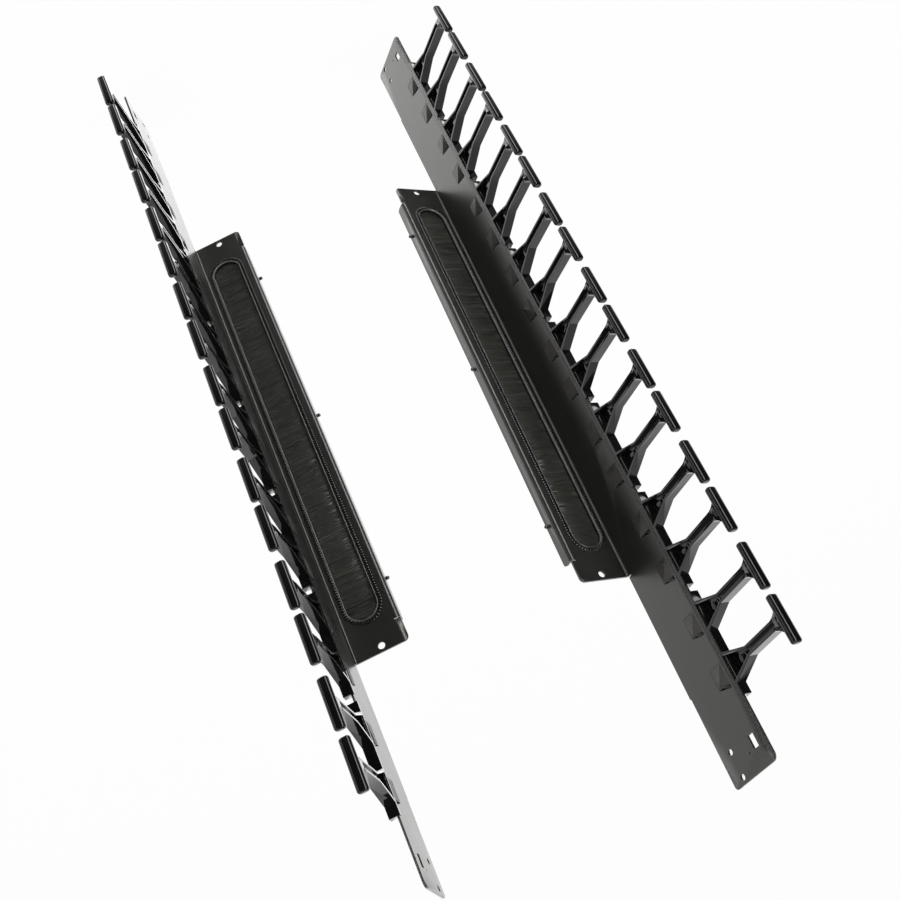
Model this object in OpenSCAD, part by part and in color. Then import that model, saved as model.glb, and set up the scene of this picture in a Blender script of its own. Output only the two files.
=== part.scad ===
// Vertical cable manager, a handed pair for a 19 inch rack.
// Each unit is one bent steel bracket: a long plate that carries the finger clips along its
// front edge, and a shorter flange with a brush-filled slot. The second unit is the mirror image.
// Origin: middle of the right-hand unit's ear-hole pair, on the face that meets the rack. +Z is up.

/* [Bracket] */
// Length of the long plate
plate_l = 800.1; // [780:0.1:900]
// Width of the long plate
plate_w = 51.4; // [50:0.1:60]
// Thickness of the steel sheet
sheet_t = 1.6; // [1.2:0.1:2]
// Inside radius of both bends
bend_r = 1.6; // [1:0.1:2]
// Front corner radius of the long plate
front_corner_r = 5; // [2:0.5:8]
// Rear corner radius of the long plate
rear_corner_r = 3; // [1:0.5:5]
// Length of the narrowed stretch at each end of the long plate
step_l = 71; // [50:1:100]
// Depth of that narrowing
step_d = 1; // [0.5:0.1:2]
// Height of the brush flange, ten rack units
flange_h = 444.5; // [430:0.1:460]
// Width of the brush flange
flange_w = 44; // [42:0.1:50]
// Depth of the rear lip along the brush flange
lip_d = 11; // [10:0.1:16]
// Height of the flat ear at each end of the brush flange
ear_h = 20; // [16:0.5:26]
// Corner radius of the ears
ear_corner_r = 4; // [2:0.5:6]
// Width of the relief cuts at the ends of the bends
relief_w = 2; // [1:0.1:3]
// Depth of the relief cuts past the bend
relief_d = 1.9; // [1:0.1:3]

/* [Holes] */
// Radius of the ear holes
ear_hole_r = 2.8; // [2:0.1:3]
// Ear hole centre from the fold
ear_hole_x = 22.9; // [15:0.1:30]
// Ear hole centre from the end of the flange
ear_hole_z = 4.9; // [4.2:0.1:8]
// Radius of the screw holes at the ends of the long plate
end_hole_r = 2.3; // [1.5:0.1:3]
// Outer screw hole centre from the end of the plate
end_hole_z = 4.8; // [4.2:0.1:7]
// Distance between the two screw holes of an end
end_hole_pitch = 18.6; // [16:0.1:22]
// Screw hole centres from the rear edge
end_hole_y = 13; // [8:0.1:18]
// Radius of the pilot hole
pilot_r = 0.8; // [0.5:0.1:1.5]
// Pilot hole centre from the rear edge
pilot_y = 30.5; // [28:0.1:33]
// Pilot hole centre from the end of the plate
pilot_z = 14.3; // [10:0.1:20]
// Slot height at the ends of the long plate
slot_h = 9.7; // [6:0.1:12]
// Slot width at the ends of the long plate
slot_w = 5.8; // [4:0.1:7]
// Slot centre from the end of the plate
slot_z = 19.2; // [14:0.1:24]
// Slot centre from the rear edge
slot_y = 39; // [33:0.1:42]

/* [Finger clips] */
// Number of finger clips on a unit
clips = 8; // [8:1:8]
// Distance from clip to clip, two rack units
clip_pitch = 88.9; // [86:0.1:90]
// Distance between the two fingers of a clip
finger_pitch = 42; // [40:0.1:44]
// Length of the clip's base rail
rail_l = 82.9; // [80:0.1:84]
// Thickness of a finger across the plate
finger_t = 8; // [7:0.1:9]
// Overhang of the clip past the plate's inner face
rail_lip = 1; // [0.8:0.1:1.5]
// Length of that overhang over the plate
rail_hook = 1.5; // [1:0.1:2.5]
// Wall of the clip in front of the plate's edge
rail_nose = 1.1; // [0.8:0.1:2]
// Depth of the rail box behind the plate
rail_box = 5; // [4:0.1:6]
// Reach of a finger from the plate's edge to the middle of its head
reach = 64.1; // [58:0.1:70]
// Half spread of a finger's two legs at the plate's edge
leg_spread = 12; // [11:0.1:13]
// Distance from the plate's edge to where the legs join
fork = 24; // [20:0.5:28]
// Half width of the stem
stem_hw = 3.8; // [3.2:0.1:4.5]
// Thickness of the stem's ribs
rib_t = 1.7; // [1.3:0.1:2.2]
// Thickness of the web between the ribs
web_t = 2; // [1.4:0.1:3]
// Length of the finger's head
head_l = 37; // [34:0.1:40]
// Depth of the head along the finger
head_d = 6; // [5:0.1:7]
// Rounding of the head's ends
head_end_r = 1.6; // [1:0.1:2.4]
// Fillet between stem and head
head_fillet = 7; // [4:0.5:9]
// Depth of the open pocket at the foot of a finger
foot_d = 12.5; // [10:0.5:14]
// Radius of the boss on the web
boss_r = 2.6; // [1.5:0.1:3]
// Thickness of the latch tongue behind the plate
tongue_t = 1.8; // [1.4:0.1:2.4]
// Width of the latch pad across the plate
pad_w = 13; // [10:0.1:14]
// Height of the latch pad
pad_h = 16; // [12:0.1:18]
// Latch window's front edge from the plate's front edge
window_y = 6.4; // [6:0.1:8]
// Drop of the latch window's centre below the finger's centre
window_drop = 0.5; // [0:0.1:2]
// Extra height of the window at its front corner
window_corner = 4; // [2:0.1:5]
// Clearance between clip and plate
clip_gap = 0.15; // [0.1:0.05:0.3]

/* [Brush slot] */
// Width of the slot in the brush flange
slot_open_w = 27; // [24:0.1:28]
// Height of the slot in the brush flange
slot_open_h = 388; // [370:0.1:392]
// Near side of the slot from the fold
slot_open_x = 6.7; // [6:0.1:8]
// Wall of the edging inside the slot
edging_wall = 0.9; // [0.6:0.1:1.4]
// Reach of the edging's teeth over the sheet
tooth_l = 1.8; // [1.4:0.1:2]
// Thickness of the edging's teeth
tooth_t = 0.8; // [0.5:0.1:1]
// Pitch of the edging's teeth
tooth_pitch = 2.35; // [2.2:0.05:4]
// Thickness of the bristle row
bristle_t = 3; // [2:0.1:4]
// Overhang of the bristle row past each end of the slot
bristle_over = 4; // [2:0.1:6]
// Bristle tips' distance from the fold
bristle_tip_x = 4.5; // [3:0.1:5]
// Depth that the bristles sit in their carrier
bristle_root = 2.2; // [1.5:0.1:3]
// Clearance of the bristles behind the edging
bristle_gap = 0.3; // [0.2:0.1:0.5]
// Width of the brush carrier
carrier_w = 6; // [5.5:0.1:6.4]
// Wall of the brush carrier round the bristles
carrier_wall = 0.8; // [0.6:0.1:1]

/* [Rivets] */
// Number of rivets that hold the brush carrier
rivets = 3; // [3:1:3]
// Distance between the rivets
rivet_pitch = 165; // [140:1:175]
// Radius of the rivet shank
rivet_r = 1.6; // [1.2:0.1:2]
// Radius of the rivet head
rivet_head_r = 3; // [2.5:0.1:3.4]
// Height of the rivet head
rivet_head_h = 2; // [1.4:0.1:2.6]
// Clearance round the rivet shank
rivet_gap = 0.1; // [0.05:0.05:0.2]

/* [Second unit] */
// Fold of the left-hand unit from the fold of the right-hand unit, sideways
pair_x = 225; // [180:1:400]
// Fold of the left-hand unit from the fold of the right-hand unit, backwards
pair_y = 92; // [0:1:150]
// Turn of the left-hand unit about its length
pair_turn = 37; // [0:0.5:60]
// Sideways lean of the left-hand unit
pair_lean = 2.2; // [0:0.1:4]
// Backward tip of the left-hand unit
pair_tip = 0.5; // [0:0.1:2]

/* [Hidden] */
$fn = 48;
eps = 0.01;
mid_z = plate_l / 2;                        // everything is symmetric about mid height
flange_z0 = mid_z - flange_h / 2;
ear_pair = flange_h - 2 * ear_hole_z;       // distance between the two ear holes
slot_cx = slot_open_x + slot_open_w / 2;    // middle of the brush slot
front_y = -plate_w;
flat_x1 = flange_w - sheet_t - bend_r;      // where the flange's flat ends and its bend starts
rail_x1 = rail_lip;                         // the clip straddles the plate
rail_x0 = rail_x1 - finger_t;
web_x = (rail_x0 + rail_x1) / 2;
nose_y = front_y - clip_gap - rail_nose;    // outer face of the clip's rail
head_y = front_y - reach;
tongue_x = -sheet_t - clip_gap;             // face of the clip behind the plate
window_y0 = front_y + window_y;
bristle_y0 = sheet_t + tooth_t + bristle_gap;
bristle_len = slot_open_h + 2 * bristle_over;
carrier_x1 = flange_w - sheet_t;            // the carrier seats on the lip's inner face
carrier_x0 = carrier_x1 - carrier_w;
carrier_y0 = bristle_y0 - carrier_wall;
carrier_y1 = bristle_y0 + bristle_t + carrier_wall;
rivet_y = (carrier_y1 + lip_d) / 2;
unit_nodes = ["bracket", "edging", "brush_carrier", "bristles", "rivets"];

function clip_z(i) = mid_z + (i - (clips + 1) / 2) * clip_pitch;
function finger_z(i, side) = clip_z(i) + side * finger_pitch / 2;

// ---- placing ----

// From the bracket's own frame (fold at x = y = 0, lower end at z = 0) to the part's frame
module to_part() translate([-ear_hole_x, -sheet_t, -mid_z]) children();

// A right-hand or left-hand unit
module unit(side)
    to_part()
        if (side == "rh") children();
        else translate([pair_x, pair_y, 0]) rotate([-pair_tip, -pair_lean, pair_turn])
            mirror([1, 0, 0]) children();

// Extrudes an outline drawn in the plate's plane (y, z) from x0 to x1
module across(x0, x1) translate([x0, 0, 0]) rotate([90, 0, 90]) linear_extrude(x1 - x0) children();

// Extrudes an outline drawn in the flange's plane (x, z) from y0 to y1
module through(y0, y1) translate([0, y1, 0]) rotate([90, 0, 0]) linear_extrude(y1 - y0) children();

// Square with its corner at the origin, less a quarter disc: cuts or fills a corner
module corner(r) difference() {
    translate([-eps, -eps]) square(r + eps);
    translate([r, r]) circle(r);
}

// ---- bracket ----

// Quarter ring of sheet about the origin, on the side given by the signs
module bend(sx, sy) intersection() {
    difference() {
        circle(bend_r + sheet_t);
        circle(bend_r);
    }
    translate([sx > 0 ? 0 : -bend_r - sheet_t, sy > 0 ? 0 : -bend_r - sheet_t])
        square(bend_r + sheet_t);
}

module long_plate_outline() difference() {
    union() {
        translate([front_y, 0]) square([plate_w - bend_r, plate_l]);
        for (m = [0, 1]) mirror_z(m) {
            translate([-bend_r - eps, step_l]) square([bend_r + eps, flange_z0 - step_l]);
            translate([-bend_r - eps, 0]) square([bend_r + eps - step_d, step_l + eps]);
        }
    }
    for (m = [0, 1]) mirror_z(m) {
        translate([front_y, 0]) corner(front_corner_r);
        translate([-step_d, 0]) mirror([1, 0]) corner(rear_corner_r);
        translate([-bend_r - relief_d, flange_z0 - relief_w]) square([bend_r + relief_d + 1, relief_w]);
        translate([-slot_y - slot_w / 2, slot_z - slot_h / 2]) square([slot_w, slot_h]);
    }
    for (i = [1 : clips], s = [-1, 1]) window_outline(finger_z(i, s));
}

// Mirrors a y-z outline about mid height
module mirror_z(m) translate([0, m * plate_l]) mirror([0, m]) children();

// Latch window: a rectangle whose upper front corner runs on to a point
module window_outline(z) translate([window_y0, z - window_drop - pad_h / 2])
    polygon([[0, 0], [pad_w, 0], [pad_w, pad_h], [0, pad_h + window_corner]]);

// Flat of the brush flange with its two ears, in x and z
module flange_outline() difference() {
    union() {
        translate([bend_r - eps, flange_z0]) square([flat_x1 - bend_r + eps, flange_h]);
        for (z = [flange_z0, flange_z0 + flange_h - ear_h + relief_w])
            translate([bend_r, z]) square([flange_w - bend_r, ear_h - relief_w]);
    }
    translate([flange_w, flange_z0]) mirror([1, 0]) corner(ear_corner_r);
    translate([flange_w, flange_z0 + flange_h]) mirror([1, 0]) mirror([0, 1]) corner(ear_corner_r);
    for (z = [flange_z0 + ear_h - relief_w, flange_z0 + flange_h - ear_h])
        translate([flat_x1 - relief_d, z]) square([relief_d + 1, relief_w]);
    stadium(slot_open_w, slot_open_h);
}

// Upright stadium centred on the brush slot
module stadium(w, h) translate([slot_cx, mid_z]) {
    square([w, h - w], center = true);
    for (s = [-1, 1]) translate([0, s * (h - w) / 2]) circle(w / 2);
}

module bracket() color([0.17, 0.17, 0.18]) difference() {
    union() {
        across(-sheet_t, 0) long_plate_outline();
        translate([0, 0, flange_z0]) linear_extrude(flange_h) translate([bend_r, -bend_r]) bend(-1, 1);
        through(0, sheet_t) flange_outline();
        translate([0, 0, flange_z0 + ear_h]) linear_extrude(flange_h - 2 * ear_h) {
            translate([flat_x1, sheet_t + bend_r]) bend(1, -1);
            translate([flange_w - sheet_t, sheet_t + bend_r]) square([sheet_t, lip_d - sheet_t - bend_r]);
        }
    }
    for (s = [-1, 1]) translate([0, 0, mid_z + s * ear_pair / 2])
        hole_y(ear_hole_x, 0, ear_hole_r, sheet_t);
    for (s = [-1, 1], d = [0, end_hole_pitch])
        hole_x(-end_hole_y, mid_z + s * (mid_z - end_hole_z - d), end_hole_r, -sheet_t);
    for (s = [-1, 1]) hole_x(-pilot_y, mid_z + s * (mid_z - pilot_z), pilot_r, -sheet_t);
    for (i = [1 : rivets]) hole_x(rivet_y, rivet_z(i), rivet_r + rivet_gap, flange_w - sheet_t);
}

function rivet_z(i) = mid_z + (i - (rivets + 1) / 2) * rivet_pitch;

// Bores through a sheet that starts at x0, or through one that is t thick at the height of z = 0
module hole_x(y, z, r, x0) translate([x0 - 1, y, z]) rotate([0, 90, 0]) cylinder(r = r, h = sheet_t + 2);
module hole_y(x, z, r, t) translate([x, t + 1, z]) rotate([90, 0, 0]) cylinder(r = r, h = t + 2);

// ---- finger clip ----

// Outline of a finger without its head, centred on z = 0
module finger_outline() {
    u1 = nose_y + eps;
    polygon([[u1, leg_spread], [front_y - fork, stem_hw], [head_y, stem_hw],
             [head_y, -stem_hw], [front_y - fork, -stem_hw], [u1, -leg_spread]]);
    for (s = [0, 1]) mirror([0, s]) translate([head_y + head_d / 2, stem_hw]) corner(head_fillet);
}

// Hollow between the ribs: the triangle of the legs running on into the stem
module pocket_outline() {
    a = (leg_spread - stem_hw) / fork;
    end_y = head_y + head_d / 2 + head_fillet - stem_hw + rib_t;
    inner = stem_hw - rib_t;
    polygon([[front_y + 3, leg_spread + 3 * a - rib_t * 1.3], [front_y - fork, inner], [end_y, inner],
             [end_y, -inner], [front_y - fork, -inner], [front_y + 3, -leg_spread - 3 * a + rib_t * 1.3]]);
    translate([end_y, 0]) circle(inner);
}

module head() intersection() {
    translate([0, 0, -head_l / 2]) linear_extrude(head_l) {
        translate([web_x, head_y]) square([finger_t - head_d, head_d], center = true);
        for (s = [-1, 1]) translate([web_x + s * (finger_t - head_d) / 2, head_y]) circle(head_d / 2);
    }
    across(rail_x0 - 1, rail_x1 + 1) head_side(head_y, head_d);
    through(head_y - head_d, head_y + head_d) head_side(web_x, finger_t);
}

// Rounded rectangle as high as the head and w wide
module head_side(c, w) translate([c, 0]) difference() {
    square([w, head_l], center = true);
    for (a = [0, 1], b = [0, 1]) mirror([a, 0]) mirror([0, b])
        translate([-w / 2, -head_l / 2]) corner(head_end_r);
}

module finger() {
    difference() {
        across(rail_x0, rail_x1) finger_outline();
        across(web_x + web_t / 2, rail_x1 + 1) pocket_outline();
        across(rail_x0 - 1, web_x - web_t / 2) pocket_outline();
        across(rail_x0 + tongue_t, rail_x1 + 1) foot_outline();
    }
    across(rail_x0, rail_x0 + tongue_t) foot_outline();
    // wall that closes the foot pocket, with the boss in its middle
    across(rail_x0, web_x + web_t / 2) intersection() {
        translate([front_y - foot_d - 1.4, -leg_spread]) square([1.5, 2 * leg_spread]);
        pocket_outline();
    }
    across(rail_x0, web_x + web_t / 2 + 0.8) translate([front_y - foot_d - 1.4, 0]) circle(boss_r);
    head();
}

// Foot pocket: the part of the hollow next to the plate
module foot_outline() intersection() {
    pocket_outline();
    translate([front_y - foot_d, -leg_spread * 2]) square([foot_d - clip_gap, leg_spread * 4]);
}

// Tongue behind the plate with the pad that fills the latch window
module latch() {
    w = pad_w + window_y + 2;
    h = pad_h + window_corner + 4;
    across(tongue_x - tongue_t, tongue_x)
        translate([front_y, -window_drop - pad_h / 2 - 2]) square([w, h]);
    across(tongue_x - eps, 0) translate([window_y0 + clip_gap, -window_drop - pad_h / 2 + clip_gap])
        square([pad_w - 2 * clip_gap, pad_h - 2 * clip_gap]);
}

// Rail: a channel that grips the plate's front edge
module rail() difference() {
    translate([0, 0, -rail_l / 2]) linear_extrude(rail_l) {
        translate([rail_x0, nose_y]) square([finger_t, rail_nose]);
        translate([rail_x0, nose_y]) square([tongue_x - rail_x0, front_y + rail_box - nose_y]);
        translate([clip_gap, nose_y]) square([rail_x1 - clip_gap, front_y + rail_hook - nose_y]);
    }
    for (s = [-1, 1]) translate([0, 0, s * finger_pitch / 2]) across(rail_x0 + tongue_t, rail_x1 + 1)
        translate([nose_y - 1, -leg_spread + rib_t * 1.3]) square([rail_nose + 1 + eps, 2 * (leg_spread - rib_t * 1.3)]);
}

module clip(i) color([0.06, 0.06, 0.06]) translate([0, 0, clip_z(i)]) {
    rail();
    for (s = [-1, 1]) translate([0, 0, s * finger_pitch / 2]) {
        finger();
        latch();
    }
}

// ---- brush ----

// Point at distance d along a stadium of radius r and straight length l, and pushed out by o
function around(d, r, l, o) =
    let (c = PI * r, p = d % (2 * (l + c)))
    p < l ? [r + o, p - l / 2] :
    p < l + c ? let (a = (p - l) / r * 180 / PI) [(r + o) * cos(a), l / 2 + (r + o) * sin(a)] :
    p < 2 * l + c ? [-r - o, l / 2 - (p - l - c)] :
    let (a = 180 + (p - 2 * l - c) / r * 180 / PI) [(r + o) * cos(a), -l / 2 + (r + o) * sin(a)];

// Toothed ring of the edging: each tooth reaches over the sheet, each gap stops at its edge
module teeth_outline() {
    r = slot_open_w / 2;
    l = slot_open_h - slot_open_w;
    n = floor((2 * l + 2 * PI * r) / tooth_pitch);
    p = (2 * l + 2 * PI * r) / n;
    difference() {
        translate([slot_cx, mid_z]) polygon([for (i = [0 : n - 1], k = [[0, 0], [0, 1], [0.52, 1], [0.52, 0]])
            around((i + k[0]) * p, r, l, 0.35 + k[1] * (tooth_l - 0.35))]);
        stadium(slot_open_w - 2 * edging_wall, slot_open_h - 2 * edging_wall);
    }
}

// Plain ring of the edging that reaches past the slot's edge by o
module rim_outline(o) difference() {
    stadium(slot_open_w + 2 * o, slot_open_h + 2 * o);
    stadium(slot_open_w - 2 * edging_wall, slot_open_h - 2 * edging_wall);
}

module edging() color([0.12, 0.12, 0.12]) {
    through(-tooth_t, 0) teeth_outline();
    through(-eps, sheet_t + eps) rim_outline(-0.05);
    through(sheet_t, sheet_t + tooth_t) rim_outline(tooth_l);
}

module brush_carrier() color([0.2, 0.2, 0.2]) difference() {
    translate([0, 0, mid_z - bristle_len / 2]) linear_extrude(bristle_len) difference() {
        polygon([[carrier_x0, carrier_y0], [flat_x1 - 0.3, carrier_y0],
                 [carrier_x1, sheet_t + bend_r + 1], [carrier_x1, lip_d - 0.6],
                 [flat_x1 - 1.5, lip_d - 0.6], [flat_x1 - 1.5, carrier_y1], [carrier_x0, carrier_y1]]);
        translate([carrier_x0 - 1, bristle_y0 - 0.02]) square([bristle_root + 1.02, bristle_t + 0.04]);
    }
    for (i = [1 : rivets]) hole_x(rivet_y, rivet_z(i), rivet_r + rivet_gap, carrier_x1 - sheet_t - 1.6);
}

module bristles() color([0.2, 0.2, 0.17])
    translate([bristle_tip_x, bristle_y0, mid_z - bristle_len / 2])
        cube([carrier_x0 + bristle_root - bristle_tip_x, bristle_t, bristle_len]);

module rivet() rotate([0, 90, 0]) {
    translate([0, 0, -sheet_t - 2]) cylinder(r = rivet_r, h = sheet_t + 2 + eps);
    rotate_extrude() intersection() {
        translate([0, rivet_head_h - rivet_head_r * 1.25]) circle(rivet_head_r * 1.25);
        square([rivet_head_r, rivet_head_h]);
    }
}

module rivets_row() color([0.1, 0.1, 0.1])
    for (i = [1 : rivets]) translate([flange_w, rivet_y, rivet_z(i)]) rivet();

// ---- nodes ----

module rh_bracket() unit("rh") bracket();
module lh_bracket() unit("lh") bracket();
module rh_edging() unit("rh") edging();
module lh_edging() unit("lh") edging();
module rh_brush_carrier() unit("rh") brush_carrier();
module lh_brush_carrier() unit("lh") brush_carrier();
module rh_bristles() unit("rh") bristles();
module lh_bristles() unit("lh") bristles();
module rh_rivets() unit("rh") rivets_row();
module lh_rivets() unit("lh") rivets_row();

rh_bracket();
lh_bracket();
rh_edging();
lh_edging();
rh_brush_carrier();
lh_brush_carrier();
rh_bristles();
lh_bristles();
rh_rivets();
lh_rivets();
for (i = [1 : clips]) {
    unit("rh") clip(i);
    unit("lh") clip(i);
}
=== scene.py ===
import math
import bpy
import bmesh
from mathutils import Euler, Matrix, Vector


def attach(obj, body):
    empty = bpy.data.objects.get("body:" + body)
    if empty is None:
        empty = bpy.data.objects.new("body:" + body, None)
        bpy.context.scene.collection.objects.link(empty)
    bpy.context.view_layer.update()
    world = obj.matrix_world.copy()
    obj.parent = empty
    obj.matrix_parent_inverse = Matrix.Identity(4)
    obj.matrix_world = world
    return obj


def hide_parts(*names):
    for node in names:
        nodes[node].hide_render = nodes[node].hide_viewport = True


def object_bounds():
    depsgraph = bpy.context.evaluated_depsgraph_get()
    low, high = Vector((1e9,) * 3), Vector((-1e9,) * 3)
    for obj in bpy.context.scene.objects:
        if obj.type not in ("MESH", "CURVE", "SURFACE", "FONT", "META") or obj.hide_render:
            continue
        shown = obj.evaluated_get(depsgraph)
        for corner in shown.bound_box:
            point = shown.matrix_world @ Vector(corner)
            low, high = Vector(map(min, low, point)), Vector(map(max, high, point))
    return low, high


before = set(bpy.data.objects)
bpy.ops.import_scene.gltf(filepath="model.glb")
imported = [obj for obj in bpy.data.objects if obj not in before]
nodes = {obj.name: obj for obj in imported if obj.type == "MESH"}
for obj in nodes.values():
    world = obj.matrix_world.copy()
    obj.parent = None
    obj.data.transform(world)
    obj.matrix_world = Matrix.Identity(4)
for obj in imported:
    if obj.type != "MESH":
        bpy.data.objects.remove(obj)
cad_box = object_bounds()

scene = bpy.context.scene

# ---- Camera ----
# The pair is seen from above, from the front right, with the camera turned so that
# the upper ends of the long plates come nearest and lie at the lower edge of the view.
camera = bpy.data.cameras.new("camera")
camera.lens = 47.92
camera.sensor_width = 36
camera.clip_start = 0.05
viewpoint = bpy.data.objects.new("camera", camera)
viewpoint.location = (0.5404, -0.6518, 0.5853)
viewpoint.rotation_euler = [math.radians(a) for a in (-55.887, -19.756, -157.8)]
scene.collection.objects.link(viewpoint)
scene.camera = viewpoint
scene.view_settings.view_transform = "Standard"


# ---- Floor and studio light ----
# A pale sweep under and behind the pair. A ring of soft panels stands round it, bright
# behind the plates and dark beside the camera, with narrow lamps that draw the streaks.
class Wire:
    """A number, colour or vector on its way to a shader; sums on it add their own nodes."""

    def __init__(self, tree, socket):
        self.tree, self.socket = tree, socket

    @staticmethod
    def node(tree, kind, settings=None, inputs=None, out=0):
        made = tree.nodes.new(kind)
        for name, value in (settings or {}).items():
            if name == "stops":
                ramp = made.color_ramp
                while len(ramp.elements) < len(value):
                    ramp.elements.new(1)
                for stop, (place, tone) in zip(ramp.elements, value):
                    stop.position = place
                    stop.color = tone if isinstance(tone, tuple) else (tone, tone, tone, 1)
            else:
                setattr(made, name, value)
        for name, value in (inputs or {}).items():
            socket = made.inputs[name]
            if isinstance(value, Wire):
                tree.links.new(value.socket, socket)
            else:
                socket.default_value = value
        return Wire(tree, made.outputs[out]) if made.outputs else made

    def sum(self, operation, a, b):
        return Wire.node(self.tree, "ShaderNodeMath", {"operation": operation}, {0: a, 1: b})

    def __add__(self, other): return self.sum("ADD", self, other)
    def __radd__(self, other): return self.sum("ADD", other, self)
    def __sub__(self, other): return self.sum("SUBTRACT", self, other)
    def __rsub__(self, other): return self.sum("SUBTRACT", other, self)
    def __mul__(self, other): return self.sum("MULTIPLY", self, other)
    def __rmul__(self, other): return self.sum("MULTIPLY", other, self)
    def __truediv__(self, other): return self.sum("DIVIDE", self, other)
    def __gt__(self, other): return self.sum("GREATER_THAN", self, other)
    def __lt__(self, other): return self.sum("LESS_THAN", self, other)
    def power(self, other): return self.sum("POWER", self, other)
    def most(self, other): return self.sum("MAXIMUM", self, other)


def blank_tree(owner):
    owner.use_nodes = True
    owner.node_tree.nodes.clear()
    return owner.node_tree


def axes(tree, vector):
    split = tree.nodes.new("ShaderNodeSeparateXYZ")
    tree.links.new(vector.socket, split.inputs[0])
    return [Wire(tree, split.outputs[i]) for i in range(3)]


def ray(tree, *kinds):
    path = tree.nodes.new("ShaderNodeLightPath")
    seen = Wire(tree, path.outputs[kinds[0]])
    for kind in kinds[1:]:
        seen = seen.most(Wire(tree, path.outputs[kind]))
    return seen


# narrow panels of the ring as the gloss sees them: (direction in degrees, half width in degrees, strength)
PANELS = [(-90, 12, 9.0), (20, 5, 6.0), (-12, 3.5, 5.0)]
PANEL_SOFT = 1.2
# the wide bright back of the ring, and how much brighter it is towards the floor
BACK, BACK_HALF, BACK_SOFT, BACK_LIGHT, BACK_LOW = 116, 84, 10, 1.3, 1.5
# a second wide panel there, which fades towards the floor
SIDE, SIDE_HALF, SIDE_SOFT, SIDE_LIGHT, SIDE_FADE = 121, 30, 9, 0.95, 1.3
# the dim rest of the ring: its least light, and where and how fast it rises towards the floor
REST_LEAST, REST_START, REST_RISE = 0.03, 0.1, 0.8
# what matt surfaces see from every side
PLAIN_LIGHT = 0.6

world = bpy.data.worlds.new("studio")
scene.world = world
tree = blank_tree(world)
sky_x, sky_y, sky_z = axes(tree, Wire.node(tree, "ShaderNodeTexCoord", out="Generated"))
heading = Wire.node(tree, "ShaderNodeMath", {"operation": "ARCTAN2"}, {0: sky_y, 1: sky_x})


def panel(centre, half, soft):
    """1 inside the panel's width, 0 outside, with soft edges."""
    off = Wire.node(tree, "ShaderNodeMath", {"operation": "WRAP"},
                    {0: heading - math.radians(centre), 1: math.pi, 2: -math.pi})
    off = Wire.node(tree, "ShaderNodeMath", {"operation": "ABSOLUTE"}, {0: off})
    return Wire.node(tree, "ShaderNodeMapRange", {"interpolation_type": "SMOOTHSTEP"},
                     {"Value": off, "From Min": math.radians(half - soft), "From Max": math.radians(half + soft),
                      "To Min": 1.0, "To Max": 0.0})


low = (0 - sky_z).most(0.0)
ring = (panel(BACK, BACK_HALF, BACK_SOFT) * BACK_LIGHT * (1 + low * low * BACK_LOW)
        + ((low * low - REST_START) * REST_RISE).most(REST_LEAST))
ring = ring + panel(SIDE, SIDE_HALF, SIDE_SOFT) * (SIDE_LIGHT - low * SIDE_FADE).most(0.0)
for centre, half, strength in PANELS:
    ring = ring + panel(centre, half, PANEL_SOFT) * strength
gloss = ray(tree, "Is Glossy Ray")
seen = ray(tree, "Is Camera Ray", "Is Transmission Ray")
strength = seen + (1 - seen) * (gloss * ring + (1 - gloss) * PLAIN_LIGHT)
Wire.node(tree, "ShaderNodeOutputWorld", None, {
    "Surface": Wire.node(tree, "ShaderNodeBackground", None, {"Color": (1, 1, 1, 1), "Strength": strength})})

FLOOR_HALF, FLOOR_GAP, FLOOR_SEEN = 9, 0.0005, 0.96
floor_mesh = bpy.data.meshes.new("floor")
floor_z = cad_box[0][2] - FLOOR_GAP
floor_mesh.from_pydata([(x * FLOOR_HALF, y * FLOOR_HALF, floor_z) for x, y in ((-1, -1), (1, -1), (1, 1), (-1, 1))],
                       [], [(0, 1, 2, 3)])
floor = bpy.data.objects.new("floor", floor_mesh)
scene.collection.objects.link(floor)
floor.visible_glossy = False
pale = bpy.data.materials.new("pale_floor")
tree = blank_tree(pale)
diffuse = Wire.node(tree, "ShaderNodeBsdfDiffuse", None, {"Color": (0.86, 0.86, 0.86, 1)})
white = Wire.node(tree, "ShaderNodeEmission", None, {"Color": (1, 1, 1, 1), "Strength": 1.0})
Wire.node(tree, "ShaderNodeOutputMaterial", None, {
    "Surface": Wire.node(tree, "ShaderNodeMixShader", None, {
        0: ray(tree, "Is Camera Ray") * FLOOR_SEEN, 1: diffuse, 2: white})})
floor_mesh.materials.append(pale)

for name, place, aim, size, power in (
        ("top_lamp", (0.3, -0.2, 2.2), (0, 0, 0), 1.6, 16),
        ("front_lamp", (1.3, -1.5, 1.2), (0.05, 0, 0), 1.2, 12),
        ("side_lamp", (-1.5, -1.0, 0.9), (0.05, 0, 0), 1.2, 7)):
    lamp = bpy.data.lights.new(name, "AREA")
    lamp.shape = "DISK"
    lamp.size = size
    lamp.energy = power
    stand = bpy.data.objects.new(name, lamp)
    stand.location = place
    stand.rotation_euler = (Vector(aim) - Vector(place)).to_track_quat("-Z", "Y").to_euler()
    stand.visible_camera = False
    stand.visible_glossy = False
    scene.collection.objects.link(stand)


# ---- Brackets ----
# One bent steel sheet per unit: laser cut, folded twice and powder coated in satin black.
# The coat is a little uneven to the touch, like fine leather, and catches light along its edges.
# each unit's fold and lower end in the part's frame, its turn, and its hand
UNITS = {"rh": (Vector((-0.0229, -0.0016, -0.40005)), Euler((0, 0, 0)), 1),
         "lh": (Vector((0.2021, 0.0904, -0.40005)), Euler([math.radians(a) for a in (-0.5, -2.2, 37)]), -1)}


def unit_matrix(side):
    shift, turn, hand = UNITS[side]
    return Matrix.Translation(shift) @ turn.to_matrix().to_4x4() @ Matrix.Diagonal((hand, 1, 1, 1))


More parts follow.
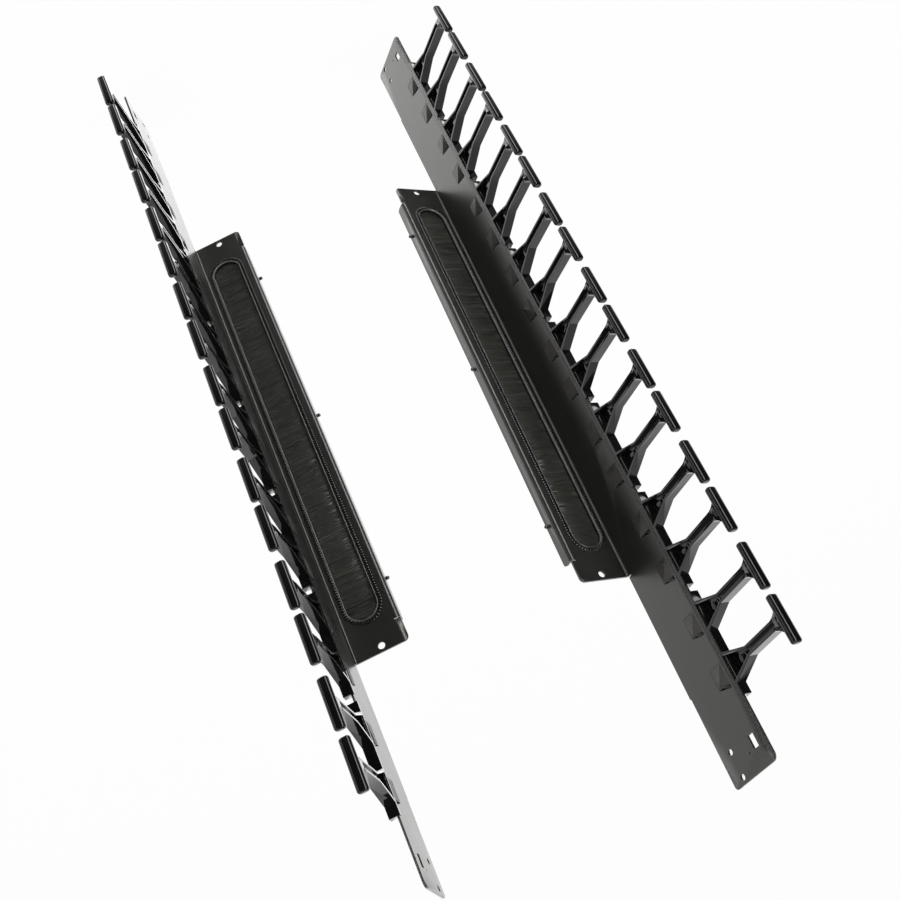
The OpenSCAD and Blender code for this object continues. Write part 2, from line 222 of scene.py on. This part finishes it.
def in_unit(tree, side):
    """The place on a piece in its own unit's frame: fold at x = y = 0, lower end at z = 0, in metres."""
    shift, turn, hand = UNITS[side]
    return Wire.node(tree, "ShaderNodeMapping", {"vector_type": "TEXTURE"}, {
        "Vector": Wire.node(tree, "ShaderNodeTexCoord", out="Object"),
        "Location": shift, "Rotation": turn, "Scale": (hand, 1, 1)})


def finish(name):
    made = bpy.data.materials.new(name)
    return made, blank_tree(made)


def surface(tree, **inputs):
    shader = Wire.node(tree, "ShaderNodeBsdfPrincipled", None,
                       {name.replace("_", " "): value for name, value in inputs.items()})
    Wire.node(tree, "ShaderNodeOutputMaterial", None, {"Surface": shader})


def noise(tree, vector, scale, detail=2.0):
    return Wire.node(tree, "ShaderNodeTexNoise", None, {"Vector": vector, "Scale": scale, "Detail": detail})


def mix(tree, factor, a, b):
    return Wire.node(tree, "ShaderNodeMix", {"data_type": "RGBA"}, {0: factor, 6: a, 7: b}, 2)


def grained(tree, edge, strength, depth, height, where=1.0):
    """Surface direction with a fine grain of the given depth, and edges rounded by edge where that is 1."""
    plain = Wire.node(tree, "ShaderNodeNewGeometry", out="Normal")
    soft = Wire.node(tree, "ShaderNodeBevel", {"samples": 6}, {"Radius": edge})
    soft = Wire.node(tree, "ShaderNodeMix", {"data_type": "VECTOR"}, {0: where, 4: plain, 5: soft}, 1)
    return Wire.node(tree, "ShaderNodeBump", None,
                     {"Strength": strength, "Distance": depth, "Height": height, "Normal": soft})


def add_piece(name, mesh, side, material, node):
    """A finished piece in its unit's frame takes its place on the pair and stands for its CAD node."""
    mesh.transform(unit_matrix(side))
    if UNITS[side][2] < 0:
        mesh.flip_normals()
    mesh.materials.clear()
    mesh.materials.append(material)
    made = bpy.data.objects.new(name, mesh)
    scene.collection.objects.link(made)
    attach(made, "root")
    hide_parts(node)
    return made


def merged(node, side):
    """A bmesh of a CAD node in its unit's frame, with its loose triangles joined."""
    shape = bmesh.new()
    shape.from_mesh(nodes[node].data)
    shape.transform(unit_matrix(side).inverted())
    if UNITS[side][2] < 0:
        bmesh.ops.reverse_faces(shape, faces=shape.faces)
    bmesh.ops.remove_doubles(shape, verts=shape.verts, dist=1e-6)
    return shape


def to_mesh(shape, name, crease=32):
    mesh = bpy.data.meshes.new(name)
    shape.to_mesh(mesh)
    shape.free()
    mesh.shade_smooth()
    mesh.set_sharp_from_angle(angle=math.radians(crease))
    return mesh


def powder_coat(side):
    made, tree = finish("powder_coat_" + side)
    where = in_unit(tree, side)
    cloud = noise(tree, where, 40.0, 3.0)
    peel = noise(tree, where, 1300.0, 2.0)
    fine = noise(tree, where, 5200.0, 1.0)
    colour = mix(tree, cloud, (0.0095, 0.0094, 0.0092, 1), (0.0135, 0.0133, 0.0128, 1))
    surface(tree, Base_Color=colour, Roughness=0.27 + cloud * 0.05 + fine * 0.05,
            Specular_Tint=(1, 0.985, 0.93, 1), Normal=grained(tree, 0.0004, 0.22, 0.00002, peel + fine * 0.5))
    return made


# ends of the flange, length of an ear, the lip's outer face and far edge, and the corner radius
FLANGE_LOW, FLANGE_TOP, EAR, LIP_X, LIP_EDGE, LIP_ROUND = 0.1778, 0.6223, 0.020, 0.0424, 0.011, 0.003
# the two kinds of relief cut: their width before, and how much is taken off it
CUT, EAR_CUT_LESS, FOLD_CUT_LESS, NEAR = 0.002, 0.0011, 0.0009, 1e-4
for side in UNITS:
    sheet = merged(side + "_bracket", side)
    for v in sheet.verts:
        for end, inward in ((FLANGE_LOW, 1), (FLANGE_TOP, -1)):
            above = (v.co.z - end) * inward
            if v.co.x > 0.0388 and v.co.y < 0.004 and abs(above - EAR + CUT) < NEAR:
                v.co.z += EAR_CUT_LESS * inward
            if v.co.x < 0.0017 and v.co.y > -0.0036 and abs(above + CUT) < NEAR:
                v.co.z += FOLD_CUT_LESS * inward
    corners = [e for e in sheet.edges
               if all(v.co.y > LIP_EDGE - NEAR and v.co.x > LIP_X - NEAR for v in e.verts)
               and abs(e.verts[0].co.z - e.verts[1].co.z) < NEAR / 10
               and min(abs(e.verts[0].co.z - FLANGE_LOW - EAR), abs(e.verts[0].co.z - FLANGE_TOP + EAR)) < NEAR]
    bmesh.ops.bevel(sheet, geom=corners, offset=LIP_ROUND, segments=5, profile=0.5, affect="EDGES",
                    clamp_overlap=True)
    add_piece(side + "_sheet", to_mesh(sheet, side + "_sheet"), side, powder_coat(side), side + "_bracket")


# ---- Finger clips ----
# Glossy black mouldings that snap on the plate's front edge: a rail, two Y-shaped fingers of
# I-section and a rounded bar on each. Their latch pads, which fill the plate's windows, keep
# the duller grain of the mould's flat face, and are painted a paler warm grey as a painted sheen.
HEAD_Y, WEB_X, HEAD_LONG, HEAD_WIDE, HEAD_DEEP = -0.1155, -0.003, 0.037, 0.008, 0.006
BAR_END, BAR_AROUND, BAR_SQUARE = 0.0018, 28, 0.72
CLIP_PITCH, FINGER_PITCH, MID_Z = 0.0889, 0.042, 0.40005
# half a stem's width, the width over which it flares into its bar, and how far the flare and the
# bar's own plain core reach from the bar's middle
STEM_HALF, FLARE, FLARE_REACH, CORE_REACH = 0.0038, 0.007, 0.0105, 0.0031


def moulded_plastic(side):
    made, tree = finish("moulded_plastic_" + side)
    where = in_unit(tree, side)
    x, y, z = axes(tree, where)
    pad = (x > -0.0006) * (y > -0.0460)
    cloud = noise(tree, where, 55.0, 2.0)
    grain = noise(tree, where, 2600.0, 2.0)
    black = mix(tree, cloud, (0.003, 0.003, 0.0032, 1), (0.006, 0.006, 0.006, 1))
    # the latch pads are painted a paler warm grey: painted sheen for the light their flat faces catch
    colour = mix(tree, pad, black, (0.030, 0.0285, 0.0255, 1))
    surface(tree, Base_Color=colour, Roughness=0.04 + cloud * 0.03 + pad * 0.46,
            Normal=grained(tree, 0.0004, 0.25, 0.00002, grain * pad, y > HEAD_Y + 0.0085),
            Specular_IOR_Level=0.24)
    return made


def add_bar(shape, centre_z):
    """The finger's head: a bar of rounded section with rounded ends."""
    rings = []
    for sign, degrees in [(-1, a) for a in (90, 68, 45, 22, 0)] + [(1, a) for a in (0, 22, 45, 68, 90)]:
        angle = math.radians(degrees)
        z = centre_z + sign * (HEAD_LONG / 2 - BAR_END + BAR_END * math.sin(angle))
        tuck = BAR_END * (1 - math.cos(angle))
        ring = []
        for k in range(BAR_AROUND):
            a = 2 * math.pi * (k + 0.5) / BAR_AROUND
            c, s = math.cos(a), math.sin(a)
            x = math.copysign(abs(c) ** BAR_SQUARE, c) * (HEAD_WIDE / 2 - tuck)
            y = math.copysign(abs(s) ** BAR_SQUARE, s) * (HEAD_DEEP / 2 - tuck)
            ring.append(shape.verts.new((WEB_X + x, HEAD_Y + y, z)))
        rings.append(ring)
    for low_ring, high_ring in zip(rings, rings[1:]):
        for k in range(BAR_AROUND):
            n = (k + 1) % BAR_AROUND
            shape.faces.new((low_ring[k], low_ring[n], high_ring[n], high_ring[k]))
    shape.faces.new(rings[0][::-1])
    shape.faces.new(rings[-1])


for side in UNITS:
    plastic = moulded_plastic(side)
    for number in range(1, 9):
        node = "%s_clip_%d" % (side, number)
        shape = merged(node, side)
        centres = [MID_Z + (number - 4.5) * CLIP_PITCH + way * FINGER_PITCH / 2 for way in (-1, 1)]
        for v in shape.verts:
            reach = v.co.y - HEAD_Y
            middle = min(centres, key=lambda centre: abs(v.co.z - centre))
            beside = abs(v.co.z - middle) - STEM_HALF
            # the plain core of each bar shrinks out of sight, and the stem's web thins towards the bar's ends
            if reach < CORE_REACH and beside <= NEAR:
                v.co.x, v.co.y = WEB_X + (v.co.x - WEB_X) * 0.9, HEAD_Y + reach * 0.85
            if reach < FLARE_REACH and beside > NEAR:
                thin = min(1, beside / FLARE)
                v.co.x = WEB_X + (v.co.x - WEB_X) * (1 - 0.8 * thin ** 0.8)
                if reach < CORE_REACH and beside > FLARE:
                    v.co.y = HEAD_Y + reach * 0.8
                    v.co.z += 0.001 * (1 if v.co.z < middle else -1)
        for centre in centres:
            add_bar(shape, centre)
        add_piece("%s_moulding_%d" % (side, number), to_mesh(shape, node + "_moulding", 24), side, plastic,
                  node)


# ---- Edging ----
# A castellated strip of black plastic, pushed on the rim of the brush slot: a round nose along
# the slot, a plain leg behind the sheet and a row of rounded teeth in front.
SLOT_X, SLOT_WIDE, SLOT_HIGH, SHEET = 0.0202, 0.027, 0.388, 0.0016
TOOTH_PITCH, TOOTH_LONG, TOOTH_REACH, TOOTH_HIGH = 0.00235, 0.0015, 0.0034, 0.0013


def round_slot(out, steps=20):
    """Points round the slot in x and z, pushed outwards by out, each with its outward direction."""
    r, half = SLOT_WIDE / 2, (SLOT_HIGH - SLOT_WIDE) / 2
    points = []
    for sign in (1, -1):
        for k in range(steps + 1):
            a = math.pi * k / steps
            dx, dz = math.cos(a) * sign, math.sin(a) * sign
            points.append((SLOT_X + (r + out) * dx, MID_Z + sign * half + (r + out) * dz))
    return points


def sweep_round_slot(shape, outline):
    """Sweeps a closed outline of (outwards, y) points round the slot."""
    rows = [[shape.verts.new((x, y, z)) for x, z in round_slot(out)] for out, y in outline]
    count = len(rows[0])
    for row, after in zip(rows, rows[1:] + rows[:1]):
        for k in range(count):
            n = (k + 1) % count
            shape.faces.new((row[k], row[n], after[n], after[k]))


def edging_tree():
    """Teeth along a stadium: named sizes in, plain mesh out."""
    tree = bpy.data.node_groups.new("edging_teeth", "GeometryNodeTree")
    tree.interface.new_socket("Geometry", in_out="OUTPUT", socket_type="NodeSocketGeometry")
    sizes = {"Slot width": SLOT_WIDE, "Slot height": SLOT_HIGH, "Pitch": TOOTH_PITCH, "Tooth length": TOOTH_LONG,
             "Tooth reach": TOOTH_REACH, "Tooth height": TOOTH_HIGH}
    for name, value in sizes.items():
        tree.interface.new_socket(name, in_out="INPUT", socket_type="NodeSocketFloat").default_value = value
    tree.interface.new_socket("Material", in_out="INPUT", socket_type="NodeSocketMaterial")
    given = tree.nodes.new("NodeGroupInput")
    value = {o.name: Wire(tree, o) for o in given.outputs if o.name}
    outline = Wire.node(tree, "GeometryNodeCurvePrimitiveQuadrilateral", None,
                        {"Width": value["Slot width"] + value["Tooth reach"] * 0.9,
                         "Height": value["Slot height"] + value["Tooth reach"] * 0.9})
    path = Wire.node(tree, "GeometryNodeFilletCurve", {"mode": "POLY"},
                     {"Curve": outline, "Count": 40, "Radius": (value["Slot width"] + value["Tooth reach"] * 0.9) / 2,
                      "Limit Radius": True})
    along = Wire.node(tree, "GeometryNodeResampleCurve", {"mode": "LENGTH"},
                      {"Curve": path, "Length": value["Pitch"]})
    way = Wire.node(tree, "GeometryNodeInputTangent")
    turn = Wire.node(tree, "FunctionNodeAlignRotationToVector", {"axis": "X"}, {"Vector": way})
    tooth = Wire.node(tree, "GeometryNodeMeshUVSphere", None, {"Segments": 8, "Rings": 4, "Radius": 0.56})
    turned = Wire.node(tree, "GeometryNodeTransform", None, {"Geometry": tooth, "Rotation": (0, 0, math.pi / 8)})
    size = Wire.node(tree, "ShaderNodeCombineXYZ", None,
                     {0: value["Tooth length"], 1: value["Tooth reach"], 2: value["Tooth height"]})
    sized = Wire.node(tree, "GeometryNodeTransform", None, {"Geometry": turned, "Scale": size})
    teeth = Wire.node(tree, "GeometryNodeInstanceOnPoints", None,
                      {"Points": along, "Instance": sized, "Rotation": turn})
    real = Wire.node(tree, "GeometryNodeRealizeInstances", None, {"Geometry": teeth})
    coloured = Wire.node(tree, "GeometryNodeSetMaterial", None, {"Geometry": real, "Material": value["Material"]})
    Wire.node(tree, "NodeGroupOutput", None, {"Geometry": coloured})
    return tree


def grown(tree, name, **choices):
    """The plain mesh that a geometry tree makes with the given inputs."""
    host = bpy.data.objects.new(name, bpy.data.meshes.new(name))
    scene.collection.objects.link(host)
    growth = host.modifiers.new("growth", "NODES")
    growth.node_group = tree
    for item in tree.interface.items_tree:
        if item.in_out == "INPUT" and item.name.replace(" ", "_") in choices:
            growth[item.identifier] = choices[item.name.replace(" ", "_")]
    bpy.context.view_layer.update()
    mesh = bpy.data.meshes.new_from_object(host.evaluated_get(bpy.context.evaluated_depsgraph_get()))
    host.modifiers.remove(growth)
    bpy.data.objects.remove(host)
    return mesh


def edging_plastic(side):
    made, tree = finish("edging_plastic_" + side)
    where = in_unit(tree, side)
    x, y, z = axes(tree, where)
    speck = noise(tree, where, 900.0, 3.0)
    off_middle = Wire.node(tree, "ShaderNodeMath", {"operation": "ABSOLUTE"}, {0: z - MID_Z})
    past = (off_middle - (SLOT_HIGH - SLOT_WIDE) / 2).most(0.0)
    from_middle = ((x - SLOT_X).power(2.0) + past * past).power(0.5)
    # the nose's face inside the slot is painted pale grey: a painted highlight for the light line along the slot's
    # rim
    nose = (from_middle < SLOT_WIDE / 2 - 0.0003) * (y < 0.0002)
    colour = mix(tree, speck, (0.004, 0.004, 0.004, 1), (0.009, 0.009, 0.009, 1))
    surface(tree, Base_Color=mix(tree, nose, colour, (0.12, 0.12, 0.11, 1)), Roughness=0.14 + speck * 0.1,
            Normal=grained(tree, 0.0002, 0.15, 0.00002, speck, 0.0))
    return made


# the nose's thickness and depth in front, the leg's thickness and reach, and how far the teeth stand off
NOSE_HALF, NOSE_OUT, LEG_THICK, LEG_REACH, TOOTH_SINK = 0.00055, 0.0006, 0.0008, 0.0018, 0.00005
teeth_tree = edging_tree()
for side in UNITS:
    plastic = edging_plastic(side)
    teeth = grown(teeth_tree, side + "_teeth", Material=plastic)
    teeth.transform(Matrix.Translation((SLOT_X, -TOOTH_HIGH / 2 + TOOTH_SINK, MID_Z))
                    @ Matrix.Rotation(math.pi / 2, 4, "X"))
    shape = bmesh.new()
    shape.from_mesh(teeth)
    nose = [(NOSE_HALF * math.cos(math.radians(a)) - NOSE_HALF, NOSE_HALF * math.sin(math.radians(a)) - NOSE_OUT)
            for a in range(0, -181, -20)]
    leg = [(-2 * NOSE_HALF, SHEET + LEG_THICK), (LEG_REACH, SHEET + LEG_THICK), (LEG_REACH, SHEET), (0, SHEET)]
    sweep_round_slot(shape, nose + leg)
    bmesh.ops.recalc_face_normals(shape, faces=shape.faces)
    bpy.data.meshes.remove(teeth)
    add_piece(side + "_edge_strip", to_mesh(shape, side + "_edge_strip", 38), side, plastic,
              side + "_edging")


# ---- Rivets and brush carriers ----
# Snap rivets hold each carrier to the rear lip; their ball-shaped tails stand out of the lip.
# The carrier is a plain black channel behind the sheet that grips the bristles' roots.
RIVET_X, RIVET_Y, RIVET_PITCH = 0.044, 0.0088, 0.165
RIVET_PROFILE = [(0.0, -0.0036), (0.0016, -0.0036), (0.0016, -0.0001), (0.00165, 0.0001), (0.0012, 0.0003)]


def carrier_plastic(side):
    made, tree = finish("carrier_plastic_" + side)
    where = in_unit(tree, side)
    drawn = noise(tree, where, 700.0, 3.0)
    surface(tree, Base_Color=mix(tree, drawn, (0.008, 0.008, 0.008, 1), (0.014, 0.014, 0.014, 1)),
            Roughness=0.30 + drawn * 0.12, Normal=grained(tree, 0.0003, 0.15, 0.00002, drawn))
    return made


for side in UNITS:
    plastic = carrier_plastic(side)
    nodes[side + "_brush_carrier"].data.materials.clear()
    nodes[side + "_brush_carrier"].data.materials.append(plastic)
    profile = RIVET_PROFILE + [(0.0016 * math.sin(a), 0.0014 - 0.0016 * math.cos(a))
                               for a in [math.radians(d) for d in range(48, 180, 14)]] + [(0.0, 0.0030)]
    shape = bmesh.new()
    for place in (-1, 0, 1):
        rows = []
        for r, out in profile:
            count = 1 if r == 0 else 20
            rows.append([shape.verts.new((RIVET_X + out, RIVET_Y + r * math.cos(2 * math.pi * k / 20),
                                          MID_Z + place * RIVET_PITCH + r * math.sin(2 * math.pi * k / 20)))
                         for k in range(count)])
        for row, after in zip(rows, rows[1:]):
            for k in range(20):
                n = (k + 1) % 20
                shape.faces.new([v for v in dict.fromkeys((row[k % len(row)], row[n % len(row)],
                                                           after[n % len(after)], after[k % len(after)]))])
    bmesh.ops.recalc_face_normals(shape, faces=shape.faces)
    add_piece(side + "_snap_rivets", to_mesh(shape, side + "_snap_rivets", 50), side, plastic,
              side + "_rivets")


# ---- Bristles ----
# Straight nylon bristles, gripped along one side by their carrier. They reach across the
# slot and close it; they lean a little this way and that, and a few are paler.
ROW_LONG, ROOT_X, TIP_X, ROW_Y, ROW_DEEP = 0.394, 0.0380, 0.0046, 0.0027, 0.003


def bristle_tree():
    """A row of bent strands over a thin dark core: named sizes in, plain mesh out."""
    tree = bpy.data.node_groups.new("bristle_row", "GeometryNodeTree")
    tree.interface.new_socket("Geometry", in_out="OUTPUT", socket_type="NodeSocketGeometry")
    for name, kind, value in (("Row length", "Float", ROW_LONG), ("Reach", "Float", ROOT_X - TIP_X),
                              ("Depth", "Float", ROW_DEEP),
                              ("Strand radius", "Float", 0.00017), ("Lean", "Float", math.radians(3.2)),
                              ("Count", "Int", 6600), ("Seed", "Int", 5)):
        tree.interface.new_socket(name, in_out="INPUT", socket_type="NodeSocket" + kind).default_value = value
    tree.interface.new_socket("Material", in_out="INPUT", socket_type="NodeSocketMaterial")
    given = tree.nodes.new("NodeGroupInput")
    value = {o.name: Wire(tree, o) for o in given.outputs if o.name}

    def vector(x, y, z):
        return Wire.node(tree, "ShaderNodeCombineXYZ", None, {0: x, 1: y, 2: z})

    def chance(low, high, step):
        return Wire.node(tree, "FunctionNodeRandomValue", {"data_type": "FLOAT_VECTOR"},
                         {0: low, 1: high, "Seed": value["Seed"] + step})

    half = value["Row length"] / 2
    places = chance(vector(0.0, value["Depth"] * 0.2, 0 - half), vector(0.0, value["Depth"] * 0.8, half), 0)
    points = Wire.node(tree, "GeometryNodePoints", None, {"Count": value["Count"], "Position": places})
    path = Wire.node(tree, "GeometryNodeCurveQuadraticBezier", None, {
        "Resolution": 3, "Start": (0, 0, 0), "Middle": vector(value["Reach"] * -0.55, 0.0, value["Reach"] * 0.02),
        "End": vector(value["Reach"] * -1, 0.0, 0.0)})
    ring = Wire.node(tree, "GeometryNodeCurvePrimitiveCircle", None,
                     {"Resolution": 3, "Radius": value["Strand radius"]})
    strand = Wire.node(tree, "GeometryNodeCurveToMesh", None,
                       {"Curve": path, "Profile Curve": ring, "Fill Caps": True})
    lean = chance(vector(0.0, value["Lean"] * -1, value["Lean"] * -0.25),
                  vector(0.0, value["Lean"], value["Lean"] * 0.25), 1)
    length = chance((0.94, 1, 0.4), (1, 1, 1.6), 2)
    row = Wire.node(tree, "GeometryNodeInstanceOnPoints", None,
                    {"Points": points, "Instance": strand, "Rotation": lean, "Scale": length})
    tone = Wire.node(tree, "FunctionNodeRandomValue", {"data_type": "FLOAT"},
                     {2: 0.0, 3: 1.0, "Seed": value["Seed"] + 3}, 1)
    toned = Wire.node(tree, "GeometryNodeStoreNamedAttribute", {"data_type": "FLOAT", "domain": "INSTANCE"},
                      {"Geometry": row, "Name": "tone", "Value": tone})
    core = Wire.node(tree, "GeometryNodeMeshCube", None,
                     {"Size": vector(value["Reach"] * 0.985, value["Depth"] * 0.25, value["Row length"])})
    core = Wire.node(tree, "GeometryNodeTransform", None,
                     {"Geometry": core, "Translation": vector(value["Reach"] * -0.4925, value["Depth"] / 2, 0.0)})
    both = tree.nodes.new("GeometryNodeJoinGeometry")
    tree.links.new(core.socket, both.inputs[0])
    tree.links.new(toned.socket, both.inputs[0])
    real = Wire.node(tree, "GeometryNodeRealizeInstances", None, {"Geometry": Wire(tree, both.outputs[0])})
    coloured = Wire.node(tree, "GeometryNodeSetMaterial", None, {"Geometry": real, "Material": value["Material"]})
    Wire.node(tree, "NodeGroupOutput", None, {"Geometry": coloured})
    return tree


def nylon(side):
    made, tree = finish("nylon_" + side)
    where = in_unit(tree, side)
    tone = Wire.node(tree, "ShaderNodeAttribute", {"attribute_name": "tone"}, out="Fac")
    cloud = noise(tree, where, 30.0, 2.0)
    colour = mix(tree, tone, (0.010, 0.010, 0.008, 1), (0.050, 0.049, 0.040, 1))
    colour = mix(tree, (tone > 0.975) * 0.7, colour, (0.20, 0.195, 0.17, 1))
    colour = mix(tree, cloud * 0.4, colour, (0.014, 0.014, 0.012, 1))
    surface(tree, Base_Color=colour, Roughness=0.38 + tone * 0.15)
    return made


row_tree = bristle_tree()
for seed, side in enumerate(UNITS, 3):
    strands = nylon(side)
    row = grown(row_tree, side + "_bristle_row", Material=strands, Seed=seed * 10)
    row.transform(Matrix.Translation((ROOT_X, ROW_Y, MID_Z)))
    row.shade_smooth()
    add_piece(side + "_bristle_row", row, side, strands, side + "_bristles")
